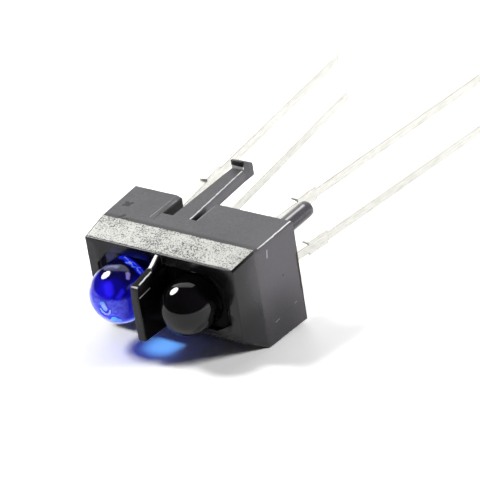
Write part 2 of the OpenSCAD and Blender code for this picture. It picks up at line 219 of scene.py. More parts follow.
@dataclass(frozen=True)
class Mark:
    """A spot or stroke on a surface, in millimetres: a scratch, a nick, a painted highlight, painted shade, or painted
    light and reflections in the lens.

    Its edge fades over a width of soft, and it covers a share of what lies under it.
    """

    start: Point
    end: Point
    width: float
    soft: float
    colour: str = "#000000"
    share: float = 1.0

    def cover(self, tree: Tree, at: Socket) -> Socket:
        """Works out how much of the mark covers a point.

        Args:
            tree: the material's node tree.
            at: the point, as Object coordinates.

        Returns:
            A socket from 0 beside the mark to its share on it.
        """
        start = Vector(self.start) * MM
        run = Vector(self.end) * MM - start
        away = add_node(tree, Node.VECTOR, LESS, {0: at, 1: start}).outputs[0]
        along = add_node(tree, Node.VECTOR, DOT, {0: away, 1: run / run.length_squared}).outputs["Value"]
        held = add_node(tree, Node.CLAMP, None, {"Value": along}).outputs[0]
        foot = add_node(tree, Node.VECTOR, SCALED, {0: run, "Scale": held}).outputs[0]
        far = add_node(tree, Node.VECTOR, DISTANCE, {0: away, 1: foot}).outputs["Value"]
        edge = ((self.width - self.soft) / 2 * MM, (self.width + self.soft) / 2 * MM)
        return add_node(tree, Node.RANGE, SMOOTH, {"Value": far, **span(edge, (self.share, 0.0))}).outputs[0]

    def over(self, tree: Tree, at: Socket, under: Socket) -> Socket:
        """Lays the mark over a colour.

        Args:
            tree: the material's node tree.
            at: the point, as Object coordinates.
            under: the colour so far.

        Returns:
            The colour with the mark on it.
        """
        parts = layers(self.cover(tree, at), under, linear(self.colour))
        return add_node(tree, Node.MIX, COLOURS, parts).outputs[2]


@dataclass(frozen=True)
class MouldedBlackPlastic:
    """Black polyester moulded in a steel tool: polished round the lenses, eroded behind the fold."""

    polished: str = "#151316"
    eroded: str = "#4e4c50"
    ior: float = 1.5
    polished_roughness: float = 0.14
    eroded_roughness: float = 0.5
    uneven: Pair = (-0.04, 0.05)
    fold_mm: Pair = (-3.39, -3.04)
    mottle_mm: float = 0.9
    mottle_shade: Pair = (0.86, 1.14)
    grain_mm: float = 0.12
    grain_shade: Pair = (0.74, 1.26)
    pit_mm: float = 0.07
    pit_depth_mm: float = 0.004
    pit_strength: float = 0.35
    polished_pits: float = 0.12
    edge_mm: float = 0.07
    sway_mm: float = 0.06
    marks: tuple[Mark, ...] = (
        # Painted shade: a darker strip along the fold beside the foil.
        Mark((-5.0, -3.0, 2.93), (5.0, -3.0, 2.93), 0.30, 0.30, "#242324", 0.8),
        # Blue light from the lens lies on the land above its window.
        Mark((-2.90, -4.95, 2.10), (-0.95, -4.95, 2.14), 0.60, 0.50, "#131b6e", 0.8),
        # Painted light and shade: the end is painted paler above and darker at its foot, and the land beside the blue
        # lens is painted paler.
        Mark((6.2, -1.4, 1.6), (6.2, 0.2, 0.2), 5.0, 2.4, "#5d5a5f", 0.7),
        Mark((6.0, -2.9, -2.4), (6.0, -2.2, -2.2), 4.2, 2.6, "#232125", 0.7),
        Mark((-4.70, -4.95, 1.9), (-4.70, -4.95, -0.6), 1.3, 0.5, "#4a484b", 0.9),
        # The pocket's wall beside the blue block lies in shade.
        Mark((-3.92, -4.73, 1.38), (-3.95, -4.73, 0.95), 0.30, 0.12, "#141430", 0.95),
        # Painted shade darkens the slots beside the hook.
        Mark((-1.76, -1.70, 2.42), (-1.76, 0.0, 2.42), 0.92, 0.2, "#0b0a0c", 0.97),
        Mark((0.06, -1.80, 2.35), (0.06, -0.95, 2.35), 0.95, 0.3, "#0d0c0e", 0.95),
        # The hook's side faces the light and looks paler.
        Mark((-0.25, -0.6, 2.55), (-0.60, 3.4, 2.55), 0.5, 0.3, "#646267", 0.8),
        # Painted highlights where edges catch the light: the hook's arm, the slots' rims, the top of the end, and the
        # barrier's top, side and tip.
        Mark((-0.17, -1.72, 2.92), (-0.53, 3.45, 2.92), 0.07, 0.05, "#ffffff", 0.85),
        Mark((-2.32, -2.35, 2.93), (-2.30, -0.05, 2.93), 0.03, 0.03, "#bdbbb6", 0.7),
        Mark((-2.10, -1.80, 2.88), (-2.06, -0.40, 2.88), 0.03, 0.03, "#bdbbb6", 0.7),
        Mark((0.30, -1.75, 2.93), (0.30, -0.25, 2.93), 0.05, 0.05, "#a09e9c", 0.6),
        Mark((4.92, -2.90, 2.93), (4.95, -0.01, 2.95), 0.08, 0.05, "#ffffff", 0.95),
        Mark((0.20, -6.90, 1.98), (0.20, -5.90, 2.15), 0.08, 0.05, "#ffffff", 0.95),
        Mark((0.25, -7.12, 1.31), (0.25, -6.22, 1.40), 0.055, 0.04, "#c8c6c4", 0.9),
        Mark((-0.12, -7.16, 1.93), (0.20, -7.14, 1.93), 0.095, 0.06, "#ffffff", 0.9),
        # The barb's inner face has a painted highlight at its foot and painted shade above it.
        Mark((-1.30, 3.55, 3.28), (-0.50, 3.55, 3.28), 0.32, 0.06, "#070607", 0.97),
        Mark((-1.25, 3.54, 3.02), (-0.55, 3.54, 3.02), 0.17, 0.05, "#ffffff", 1.0),
        # Nicks and scratches from handling.
        Mark((-4.42, -1.88, 2.93), (-4.10, -1.56, 2.93), 0.20, 0.06, "#000000", 1.0),
        Mark((-4.42, -1.60, 2.93), (-4.34, -1.66, 2.93), 0.22, 0.08, "#000000", 1.0),
        Mark((-4.20, -1.86, 2.93), (-4.14, -1.80, 2.93), 0.18, 0.08, "#000000", 1.0),
        Mark((-3.88, -3.00, 2.92), (-3.74, -2.72, 2.92), 0.20, 0.10, "#020202", 0.95),
        Mark((-3.60, -3.10, 2.92), (-3.38, -2.98, 2.92), 0.16, 0.08, "#020202", 0.9),
        Mark((4.98, -2.26, 2.49), (4.97, -2.35, 2.07), 0.035, 0.03, "#e8e4e8", 0.85),
        Mark((5.03, -1.35, 0.53), (5.03, -1.33, 0.47), 0.07, 0.06, "#121014", 0.9),
        Mark((4.97, -2.43, -1.73), (4.99, -2.08, -1.69), 0.03, 0.03, "#b4b0b6", 0.7),
        Mark((5.00, -1.90, -1.66), (5.04, -1.10, -1.55), 0.03, 0.03, "#262428", 0.7),
        Mark((5.06, -0.78, -1.52), (5.07, -0.60, -1.50), 0.03, 0.03, "#b4b0b6", 0.6),
        # A little flash stands along the rear edge, where the tool's halves meet.
        Mark((5.09, -0.04, 1.05), (5.09, -0.02, -0.95), 0.26, 0.08, "#25160f", 0.97),
        Mark((5.09, -0.02, -0.95), (5.09, -0.02, -2.5), 0.12, 0.06, "#1a1719", 0.85),
        # The seen pin is polished; a painted highlight runs along its top and painted shade under it.
        Mark((4.56, 0.15, 2.86), (4.58, 1.72, 2.86), 0.10, 0.14, "#f0eef0", 0.75),
        Mark((4.90, 0.05, 2.42), (4.90, 1.75, 2.42), 0.26, 0.22, "#1a181b", 0.75),
    )
    dull: tuple[Mark, ...] = (
        Mark((0.0, -5.90, 2.20), (0.0, -7.05, 2.00), 0.44, 0.14),
        Mark((-4.6, -4.95, -2.25), (4.6, -4.95, -2.25), 1.3, 0.6),
        Mark((0.53, -4.45, 2.0), (0.53, -4.45, 0.4), 0.5, 0.2),
        Mark((3.9, -4.6, -0.9), (4.2, -4.6, -0.2), 0.7, 0.2),
        Mark((-3.93, -4.73, 1.40), (-3.96, -4.73, 0.90), 0.36, 0.12),
    )
    dull_roughness: float = 1.0
    pins: tuple[Mark, ...] = (
        Mark((4.44, 0.0, 2.43), (4.44, 1.9, 2.43), 1.0, 0.1),
        Mark((-4.44, 0.0, -2.43), (-4.44, 1.9, -2.43), 1.0, 0.1),
    )
    pin_roughness: float = 0.2

    # Polyester moulded in a steel tool takes the tool's skin: spark-eroded steel gives a satin grey-black with a fine
    # grain, polished steel a wet, deep black. The grain and its pits are drawn at 0.12 and 0.07 mm, coarser than the
    # real 0.03 mm, to show.
    def build(self) -> Material:
        """Makes the finish: satin grey-black behind the fold, glossy black in front of it.

        Returns:
            The material.
        """
        material, tree = new_material("moulded_black_polyester")
        at = add_node(tree, Node.COORDINATES).outputs["Object"]
        depth = add_node(tree, Node.SEPARATE, None, {0: at}).outputs["Y"]
        fold = (self.fold_mm[0] * MM, self.fold_mm[1] * MM)
        rear = add_node(tree, Node.RANGE, SMOOTH, {"Value": depth, **span(fold)}).outputs[0]
        mottle, grain, pits = (
            add_node(
                tree, Node.NOISE, None, {"Vector": at, "Scale": per_mm(size), "Detail": detail, "Roughness": rough}
            ).outputs["Fac"]
            for size, detail, rough in ((self.mottle_mm, 4.0, 0.6), (self.grain_mm, 3.0, 0.7), (self.pit_mm, 2.0, 0.5))
        )
        body = add_node(tree, Node.MIX, COLOURS, layers(rear, linear(self.polished), linear(self.eroded))).outputs[2]
        cloud = add_node(tree, Node.RANGE, None, {"Value": mottle, **span(NOISE_SPAN, self.mottle_shade)}).outputs[0]
        fleck = add_node(tree, Node.RANGE, None, {"Value": grain, **span(NOISE_SPAN, self.grain_shade)}).outputs[0]
        shade = add_node(tree, Node.MATHS, TIMES, {0: cloud, 1: fleck}).outputs[0]
        tone = add_node(tree, Node.COMBINE, None, {0: shade, 1: shade, 2: shade}).outputs[0]
        colour = add_node(tree, Node.MIX, COLOURS | {"blend_type": "MULTIPLY"}, layers(1.0, body, tone)).outputs[2]
        bent = waver(tree, at, self.sway_mm)
        # The marks lay painted highlights and painted shade, as well as nicks, scratches and flash.
        for mark in self.marks:
            colour = mark.over(tree, bent, colour)
        gloss = span(WHOLE, (self.polished_roughness, self.eroded_roughness))
        roughness = add_node(tree, Node.RANGE, None, {"Value": rear, **gloss}).outputs[0]
        uneven = add_node(tree, Node.RANGE, None, {"Value": mottle, **span(NOISE_SPAN, self.uneven)}).outputs[0]
        roughness = add_node(tree, Node.MATHS, PLUS, {0: roughness, 1: uneven}).outputs[0]
        for places, value in ((self.dull, self.dull_roughness), (self.pins, self.pin_roughness)):
            for place in places:
                parts = {0: place.cover(tree, at), 2: roughness, 3: value}
                roughness = add_node(tree, Node.MIX, FLOATS, parts).outputs[0]
        rounded = add_node(tree, Node.BEVEL, {"samples": 6}, {"Radius": self.edge_mm * MM}).outputs[0]
        rise = add_node(tree, Node.RANGE, None, {"Value": rear, **span(WHOLE, (self.polished_pits, 1.0))}).outputs[0]
        height = add_node(tree, Node.MATHS, TIMES, {0: pits, 1: rise}).outputs[0]
        relief = {"Strength": self.pit_strength, "Distance": self.pit_depth_mm * MM, "Height": height}
        bump = add_node(tree, Node.BUMP, None, relief | {"Normal": rounded}).outputs[0]
        skin = {"Base Color": colour, "Roughness": roughness, "IOR": self.ior, "Normal": bump}
        shader = add_node(tree, Node.PRINCIPLED, None, skin)
        add_node(tree, Node.OUTPUT, None, {"Surface": shader.outputs[0]})
        return material


@dataclass(frozen=True)
class HotStampedFoil:
    """Silver foil pressed on warm: it keeps the grain of the plastic, so it glitters in specks."""

    silver: str = "#bcbdb8"
    speck: str = "#343532"
    bare: str = "#454447"
    metallic: float = 0.55
    roughness: float = 0.42
    speck_mm: float = 0.085
    cloud_mm: float = 1.1
    cloud_share: float = 0.3
    dark_span: Pair = (0.5, 0.7)
    middle_mm: float = -4.0
    edge_mm: Pair = (0.915, 0.955)
    ragged_mm: float = 0.16
    tear_mm: float = 0.16
    pit_depth_mm: float = 0.006
    pit_strength: float = 0.5

    # Foil stamped over the eroded skin bridges its pits, so bright silver is broken by fine dark specks, and its
    # edges tear a little where the die lets go. The specks are drawn at 0.085 mm, coarser than the real pits, to show.
    def build(self) -> Material:
        """Makes the finish: bright silver, broken by small dark specks, with torn edges.

        Returns:
            The material.
        """
        material, tree = new_material("hot_stamped_silver_foil")
        at = add_node(tree, Node.COORDINATES).outputs["Object"]
        grain, cloud, tear = (
            add_node(
                tree, Node.NOISE, None, {"Vector": at, "Scale": per_mm(size), "Detail": 3.0, "Roughness": rough}
            ).outputs["Fac"]
            for size, rough in ((self.speck_mm, 0.75), (self.cloud_mm, 0.5), (self.ragged_mm, 0.5))
        )
        both = add_node(tree, Node.MATHS, TIMES_PLUS, {0: cloud, 1: self.cloud_share, 2: grain}).outputs[0]
        dark = add_node(tree, Node.RANGE, SMOOTH, {"Value": both, **span(self.dark_span, FALLING)}).outputs[0]
        colour = add_node(tree, Node.MIX, COLOURS, layers(dark, linear(self.silver), linear(self.speck))).outputs[2]
        depth = add_node(tree, Node.SEPARATE, None, {0: at}).outputs["Y"]
        off = add_node(tree, Node.MATHS, LESS, {0: depth, 1: self.middle_mm * MM}).outputs[0]
        off = add_node(tree, Node.MATHS, {"operation": "ABSOLUTE"}, {0: off}).outputs[0]
        off = add_node(tree, Node.MATHS, TIMES_PLUS, {0: tear, 1: self.tear_mm * MM, 2: off}).outputs[0]
        edge = (self.edge_mm[0] * MM, self.edge_mm[1] * MM)
        torn = add_node(tree, Node.RANGE, SMOOTH, {"Value": off, **span(edge)}).outputs[0]
        colour = add_node(tree, Node.MIX, COLOURS, layers(torn, colour, linear(self.bare))).outputs[2]
        relief = {"Strength": self.pit_strength, "Distance": self.pit_depth_mm * MM, "Height": grain}
        bump = add_node(tree, Node.BUMP, None, relief).outputs[0]
        skin = {"Base Color": colour, "Metallic": self.metallic, "Roughness": self.roughness, "Normal": bump}
        shader = add_node(tree, Node.PRINCIPLED, None, skin)
        add_node(tree, Node.OUTPUT, None, {"Surface": shader.outputs[0]})
        return material


@dataclass(frozen=True)
class ClearBlueEpoxy:
    """Cast epoxy with a clear blue dye: deep blue inside, with painted light where light gathers, a painted floor
    reflection below and a painted pale reflection at the rim.
    """

    deep: str = "#2116c0"
    # Painted reflection of the lit floor: the paler blue of the lens's lower part.
    reflected_floor: str = "#4347d2"
    # Painted light: the colour of pale streaks in the lower part.
    pale: str = "#7c8df6"
    # Painted reflection: the pale colour at the rim.
    rim: str = "#eceeff"
    ior: float = 1.52
    roughness: float = 0.05
    clear: float = 0.12
    reflection_line_mm: Pair = (0.77, 0.93)
    caustic_mm: float = 0.45
    caustic_span: Pair = (0.42, 0.68)
    caustic_share: float = 0.5
    caustic_fold: float = 1.2
    rim_span: Pair = (0.55, 0.88)
    sway_mm: float = 0.13
    sway_fold: float = 0.5
    painted_light_and_shade: tuple[Mark, ...] = (
        # Painted shade where the dark pocket would show through the block, the barrel and the top of the dome, with one
        # pale painted patch low on the left.
        Mark((-2.50, -4.45, 0.40), (-2.45, -4.60, 0.40), 3.90, 0.40, "#060520", 0.98),
        Mark((-2.16, -4.30, 1.50), (-2.10, -5.55, 1.50), 2.60, 0.50, "#080726", 0.97),
        Mark((-2.60, -6.95, 1.50), (-2.75, -6.80, 1.50), 0.70, 0.40, "#1b158a", 0.9),
        Mark((-2.30, -6.45, 1.88), (-1.20, -6.25, 1.74), 0.80, 0.30, "#0e0b40", 0.97),
        Mark((-1.15, -6.50, 1.50), (-0.95, -6.95, 1.10), 0.60, 0.40, "#10094e", 0.85),
        Mark((-1.45, -6.90, 1.45), (-1.40, -7.00, 1.30), 0.90, 0.30, "#130a78", 0.85),
        Mark((-0.85, -6.95, 0.60), (-0.95, -6.90, -0.2), 0.50, 0.50, "#2f2bae", 0.9),
        Mark((-3.05, -7.10, 0.75), (-2.55, -7.38, -0.05), 0.50, 0.40, "#8a94ff", 0.8),
        Mark((-3.62, -4.70, 1.55), (-3.05, -4.85, 1.75), 0.34, 0.20, "#121278", 0.9),
        # Painted light: bright spots and bent lines where the cast would gather the lamps' light, and painted glints
        # near the window.
        Mark((-1.80, -7.05, 1.46), (-1.70, -7.14, 1.26), 0.50, 0.26, "#3c28ff", 1.0),
        Mark((-1.08, -6.86, 1.24), (-1.20, -7.08, 1.02), 0.20, 0.22, "#3a2cff", 0.95),
        Mark((-1.99, -7.48, 0.64), (-1.90, -7.53, 0.42), 0.27, 0.10, "#8feaff", 1.0),
        Mark((-1.96, -7.49, 0.58), (-1.88, -7.53, 0.44), 0.19, 0.06, "#e4fdff", 1.0),
        Mark((-2.16, -7.49, 0.34), (-2.10, -7.50, 0.16), 0.09, 0.06, "#9fe6ff", 1.0),
        Mark((-2.10, -7.50, 0.16), (-1.98, -7.51, 0.05), 0.10, 0.06, "#c4f2ff", 1.0),
        Mark((-1.98, -7.51, 0.05), (-1.80, -7.50, 0.03), 0.10, 0.06, "#eafbff", 1.0),
        Mark((-1.80, -7.50, 0.03), (-1.66, -7.48, 0.14), 0.10, 0.06, "#d4f6ff", 1.0),
        Mark((-1.66, -7.48, 0.14), (-1.60, -7.45, 0.32), 0.08, 0.06, "#c4ecff", 1.0),
        Mark((-1.82, -7.24, -0.48), (-1.60, -7.25, -0.22), 0.22, 0.08, "#8aecff", 1.0),
        Mark((-1.60, -7.25, -0.22), (-1.38, -7.10, -0.46), 0.22, 0.08, "#62d8ff", 1.0),
        Mark((-2.42, -4.98, 2.00), (-1.72, -5.20, 1.94), 0.34, 0.16, "#2a3cee", 0.95),
        Mark((-1.72, -5.20, 1.94), (-1.16, -5.27, 1.64), 0.40, 0.16, "#2e48f4", 0.95),
        Mark((-1.16, -5.27, 1.64), (-0.85, -5.25, 1.32), 0.44, 0.16, "#2434e0", 0.95),
        Mark((-2.25, -4.95, 1.99), (-1.45, -5.34, 1.83), 0.10, 0.06, "#8098ff", 1.0),
        Mark((-1.80, -5.34, 1.94), (-1.00, -5.36, 1.50), 0.12, 0.06, "#8cb0ff", 1.0),
        Mark((-1.62, -5.10, 1.90), (-0.98, -5.16, 1.45), 0.08, 0.06, "#6c88ff", 0.9),
        Mark((-1.42, -5.42, 1.82), (-1.18, -5.10, 1.66), 0.06, 0.05, "#9cc0ff", 0.9),
        Mark((-1.70, -5.22, 1.93), (-1.62, -5.26, 1.90), 0.12, 0.06, "#f2f7ff", 1.0),
        Mark((-1.24, -5.30, 1.69), (-1.16, -5.34, 1.64), 0.10, 0.06, "#dbe8ff", 1.0),
        # Painted reflections of the room's pale walls, soft in the top of the cast surface.
        Mark((-2.72, -6.08, 1.90), (-1.98, -5.95, 1.97), 0.26, 0.20, "#84859a", 0.85),
        Mark((-1.26, -6.00, 1.78), (-1.12, -6.20, 1.66), 0.20, 0.08, "#d0bcc8", 0.8),
    )
    # The shader doesn't focus light, so what passes is made stronger, in the lens and on the floor.
    inner_gather: float = 1.35
    gather: float = 1.15
    cast_centre: str = "#a4d5ff"
    cast_edge: str = "#090a24"
    cast_span: Pair = (0.05, 0.28)

    # Epoxy cast in a smooth cup has a wet skin over a clear dye, so the eye sees deep blue with sharp highlights. The
    # bright, bent lines of gathered light, the paler floor reflection below, the pale rim and the dark pocket seen
    # through are painted into its colour; on the floor it throws a blue pool.
    def build(self) -> Material:
        """Makes the finish: a clear, dyed surface that lets the lamps through in blue.

        Returns:
            The material.
        """
        material, tree = new_material("clear_blue_cast_epoxy")
        path = add_node(tree, Node.LIGHT_PATH)
        at = add_node(tree, Node.COORDINATES).outputs["Object"]
        bent = waver(tree, at, self.sway_mm, self.sway_fold)
        height = add_node(tree, Node.SEPARATE, None, {0: bent}).outputs["Z"]
        # Below a line the dye is painted paler, as a painted reflection of the lit floor.
        reflection_line = (self.reflection_line_mm[0] * MM, self.reflection_line_mm[1] * MM)
        lower = add_node(tree, Node.RANGE, SMOOTH, {"Value": height, **span(reflection_line, FALLING)}).outputs[0]
        dye = add_node(tree, Node.MIX, COLOURS, layers(lower, linear(self.deep), linear(self.reflected_floor))).outputs[2]
        # Pale streaks of painted light, in the lower part only.
        caustic_noise = {"Vector": at, "Scale": per_mm(self.caustic_mm), "Detail": 3.0, "Distortion": self.caustic_fold}
        cloud = add_node(tree, Node.NOISE, None, caustic_noise).outputs["Fac"]
        streaks = span(self.caustic_span, (0.0, self.caustic_share))
        caustic = add_node(tree, Node.RANGE, SMOOTH, {"Value": cloud, **streaks}).outputs[0]
        caustic = add_node(tree, Node.MATHS, TIMES, {0: caustic, 1: lower}).outputs[0]
        dye = add_node(tree, Node.MIX, COLOURS, layers(caustic, dye, linear(self.pale))).outputs[2]
        # A painted pale reflection round the rim, where the surface turns away.
        facing = add_node(tree, Node.LAYER_WEIGHT, None, {"Blend": 0.5}).outputs["Facing"]
        edge = add_node(tree, Node.RANGE, SMOOTH, {"Value": facing, **span(self.rim_span)}).outputs[0]
        dye = add_node(tree, Node.MIX, COLOURS, layers(edge, dye, linear(self.rim))).outputs[2]
        # Painted light and shade laid over the dye.
        for painted_mark in self.painted_light_and_shade:
            dye = painted_mark.over(tree, bent, dye)
        wet = {"Base Color": dye, "Roughness": self.roughness, "IOR": self.ior, "Transmission Weight": self.clear}
        skin = add_node(tree, Node.PRINCIPLED, None, wet)
        bright = add_node(tree, Node.VECTOR, SCALED, {0: dye, "Scale": self.inner_gather}).outputs[0]
        passed = add_node(tree, Node.TRANSLUCENT, None, {"Color": bright})
        lens = add_node(tree, Node.ADD_SHADER, None, {0: skin.outputs[0], 1: passed.outputs[0]})
        outer = add_node(tree, Node.RANGE, SMOOTH, {"Value": facing, **span(self.cast_span)}).outputs[0]
        centre = (*(Vector(linear(self.cast_centre)[:3]) * self.gather), 1.0)
        cast = add_node(tree, Node.MIX, COLOURS, layers(outer, centre, linear(self.cast_edge))).outputs[2]
        open_way = add_node(tree, Node.TRANSPARENT, None, {"Color": cast})
        choice = {0: path.outputs["Is Shadow Ray"], 1: lens.outputs[0], 2: open_way.outputs[0]}
        surface = add_node(tree, Node.MIX_SHADER, None, choice)
        add_node(tree, Node.OUTPUT, None, {"Surface": surface.outputs[0]})
        return material


@dataclass(frozen=True)
class BlackEpoxy:
    """Cast epoxy that passes only infrared: to the eye it is a black mirror-smooth drop."""

    colour: str = "#0c0a0d"
    ior: float = 1.48
    roughness: Pair = (0.03, 0.06)
    flow_mm: float = 1.2
    block_roughness: float = 0.95
    block_mm: Pair = (-4.80, -4.75)

    # Cast in the same smooth cup, but dyed for infrared only, so the eye sees a black drop with sharp reflections;
    # the block behind it took the matt skin of its mould.
    def build(self) -> Material:
        """Makes the finish: black, with the sharp reflections of a cast surface and a matt block.

        Returns:
            The material.
        """
        material, tree = new_material("black_cast_epoxy")
        at = add_node(tree, Node.COORDINATES).outputs["Object"]
        depth = add_node(tree, Node.SEPARATE, None, {0: at}).outputs["Y"]
        waves = {"Vector": at, "Scale": per_mm(self.flow_mm), "Detail": 1.0}
        flow = add_node(tree, Node.NOISE, None, waves).outputs["Fac"]
        cup = add_node(tree, Node.RANGE, None, {"Value": flow, **span(NOISE_SPAN, self.roughness)}).outputs[0]
        step = (self.block_mm[0] * MM, self.block_mm[1] * MM)
        block = add_node(tree, Node.RANGE, SMOOTH, {"Value": depth, **span(step)}).outputs[0]
        roughness = add_node(tree, Node.MIX, FLOATS, {0: block, 2: cup, 3: self.block_roughness}).outputs[0]
        skin = {"Base Color": linear(self.colour), "Roughness": roughness, "IOR": self.ior}
        shader = add_node(tree, Node.PRINCIPLED, None, skin)
        add_node(tree, Node.OUTPUT, None, {"Surface": shader.outputs[0]})
        return material


@dataclass(frozen=True)
class TinPlate:
    """Stamped lead sheet dipped in bright tin: soft mirror with drawn streaks along the lead."""

    tin: str = "#f8f7f1"
    dull: str = "#e6e4da"
    edge: str = "#5c5a52"
    metallic: float = 0.85
    roughness: Pair = (0.26, 0.36)
    streak_mm: Point = (0.10, 2.4, 0.10)
    worn_span: Pair = (0.4, 0.75)
    streak_depth_mm: float = 0.003
    streak_strength: float = 0.2
    edge_mm: float = 0.05
    edge_span: Pair = (0.88, 0.98)

    # Copper alloy stamped and dipped in tin: nearly white, softly mirroring, with faint streaks along the strip and
    # a thin grey line of painted shade along the stamped edges.
    def build(self) -> Material:
        """Makes the finish: pale metal with faint streaks along Y and thin grey lines of painted shade on its edges.

        Returns:
            The material.
        """
        material, tree = new_material("bright_tin_plate")
        at = add_node(tree, Node.COORDINATES).outputs["Object"]
        sizes = tuple(per_mm(size) for size in self.streak_mm)
        drawn = add_node(tree, Node.MAPPING, None, {"Vector": at, "Scale": sizes}).outputs[0]
        streak = add_node(tree, Node.NOISE, None, {"Vector": drawn, "Scale": 1.0, "Detail": 2.0}).outputs["Fac"]
        worn = add_node(tree, Node.RANGE, SMOOTH, {"Value": streak, **span(self.worn_span)}).outputs[0]
        colour = add_node(tree, Node.MIX, COLOURS, layers(worn, linear(self.tin), linear(self.dull))).outputs[2]
        # Painted shade: a thin grey line where the surface turns over an edge.
        flat = add_node(tree, Node.GEOMETRY).outputs["Normal"]
        rounded = add_node(tree, Node.BEVEL, {"samples": 8}, {"Radius": self.edge_mm * MM}).outputs[0]
        level = add_node(tree, Node.VECTOR, DOT, {0: flat, 1: rounded}).outputs["Value"]
        edge_shade = add_node(tree, Node.RANGE, SMOOTH, {"Value": level, **span(self.edge_span, FALLING)}).outputs[0]
        colour = add_node(tree, Node.MIX, COLOURS, layers(edge_shade, colour, linear(self.edge))).outputs[2]
        gloss = span(NOISE_SPAN, self.roughness)
        roughness = add_node(tree, Node.RANGE, None, {"Value": streak, **gloss}).outputs[0]
        relief = {"Strength": self.streak_strength, "Distance": self.streak_depth_mm * MM, "Height": streak}
        bump = add_node(tree, Node.BUMP, None, relief).outputs[0]
        skin = {"Base Color": colour, "Metallic": self.metallic, "Roughness": roughness, "Normal": bump}
        shader = add_node(tree, Node.PRINCIPLED, None, skin)
        add_node(tree, Node.OUTPUT, None, {"Surface": shader.outputs[0]})
        return material


@dataclass(frozen=True)
class ChipFace:
    """Sawn semiconductor with a metal bond pad in the middle of its face."""

    name: str
    face: str
    pad: str = "#d9b65e"
    pad_edge_mm: Pair = (0.0528, 0.0572)
    grain_mm: float = 0.03
    metallic: float = 0.6
    roughness: Pair = (0.2, 0.4)

    # A polished, sawn crystal: a dark grey mirror with a small gold pad.
    def build(self, centre: Vector) -> Material:
        """Makes the finish: dark crystal round a small gold pad.

        Args:
            centre: middle of the chip in metres, round which the bond pad lies.

        Returns:
            The material.
        """
        material, tree = new_material(self.name)
        at = add_node(tree, Node.COORDINATES).outputs["Object"]
        away = add_node(tree, Node.VECTOR, DISTANCE, {0: at, 1: centre}).outputs["Value"]
        edge = (self.pad_edge_mm[0] * MM, self.pad_edge_mm[1] * MM)
        pad = add_node(tree, Node.RANGE, SMOOTH, {"Value": away, **span(edge, FALLING)}).outputs[0]
        grain = add_node(tree, Node.NOISE, None, {"Vector": at, "Scale": per_mm(self.grain_mm)}).outputs["Fac"]
        colour = add_node(tree, Node.MIX, COLOURS, layers(pad, linear(self.face), linear(self.pad))).outputs[2]
        roughness = add_node(tree, Node.RANGE, None, {"Value": grain, **span(NOISE_SPAN, self.roughness)}).outputs[0]
        skin = {"Base Color": colour, "Metallic": self.metallic, "Roughness": roughness}
        shader = add_node(tree, Node.PRINCIPLED, None, skin)
        add_node(tree, Node.OUTPUT, None, {"Surface": shader.outputs[0]})
        return material


@dataclass(frozen=True)
class PlainMetal:
    """A small metal part that hardly shows: gold wire or silver-filled glue."""

    name: str
    colour: str
    dark: str
    metallic: float
    roughness: Pair
    grain_mm: float
    fleck_span: Pair = (0.35, 0.65)

    # Drawn gold keeps a soft gleam; silver flakes in glue dry to a dull, grainy grey.
    def build(self) -> Material:
        """Makes the finish, with a fine grain in its colour and gloss.

        Returns:
            The material.
        """
        material, tree = new_material(self.name)
        at = add_node(tree, Node.COORDINATES).outputs["Object"]
        grain = add_node(tree, Node.NOISE, None, {"Vector": at, "Scale": per_mm(self.grain_mm)}).outputs["Fac"]
        fleck = add_node(tree, Node.RANGE, SMOOTH, {"Value": grain, **span(self.fleck_span)}).outputs[0]
        colour = add_node(tree, Node.MIX, COLOURS, layers(fleck, linear(self.colour), linear(self.dark))).outputs[2]
        roughness = add_node(tree, Node.RANGE, None, {"Value": grain, **span(NOISE_SPAN, self.roughness)}).outputs[0]
        skin = {"Base Color": colour, "Metallic": self.metallic, "Roughness": roughness}
        shader = add_node(tree, Node.PRINCIPLED, None, skin)
        add_node(tree, Node.OUTPUT, None, {"Surface": shader.outputs[0]})
        return material


def finish_piece(
    mesh: BMesh, name: str, material: Material, stands_for: str, smooth_deg: float = 32.0
) -> None:
    """Turns a bmesh into a piece of the object, in place and dressed.

    Args:
        mesh: the finished bmesh, in metres; it is freed.
        name: the piece's name.
        material: its finish.
        stands_for: the CAD node that it replaces.
        smooth_deg: faces that meet at less than this angle shade as one.
    """
    data = bpy.data.meshes.new(name)
    mesh.to_mesh(data)
    mesh.free()
    data.materials.append(material)
    data.shade_smooth()
    data.set_sharp_from_angle(angle=radians(smooth_deg))
    piece = bpy.data.objects.new(name, data)
    bpy.context.scene.collection.objects.link(piece)
    even = piece.modifiers.new("even_shading", "WEIGHTED_NORMAL")
    even.keep_sharp = True
    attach(piece, "root")
    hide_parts(stands_for)
    log.info("%s: %d faces", name, len(data.polygons))


def merged_copy(node: str) -> BMesh:
    """Copies a CAD node's mesh, with its loose triangles joined into flat faces.

    Args:
        node: the CAD node's name.

    Returns:
        The copy.
    """
    mesh = bmesh.new()
    mesh.from_mesh(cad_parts[node].data)
    bmesh.ops.remove_doubles(mesh, verts=mesh.verts, dist=MERGE_MM * MM)
    bmesh.ops.dissolve_limit(
        mesh, angle_limit=radians(FLAT_DEG), use_dissolve_boundaries=False, verts=mesh.verts, edges=mesh.edges
    )
    return mesh


def round_edges(
    mesh: BMesh, edges: list[bmesh.types.BMEdge], radius: float, segments: int, clamped: bool = False
) -> None:
    """Rounds edges.

    Args:
        mesh: the bmesh that is changed.
        edges: the edges that are rounded.
        radius: the round's radius in millimetres.
        segments: faces across the round.
        clamped: whether the round shrinks where it would run into another.
    """
    bmesh.ops.bevel(
        mesh,
        geom=edges,
        offset=radius * MM,
        offset_type="OFFSET",
        segments=segments,
        profile=0.5,
        affect="EDGES",
        clamp_overlap=clamped,
        material=-1,
    )
    log.info("rounded %d edges", len(edges))


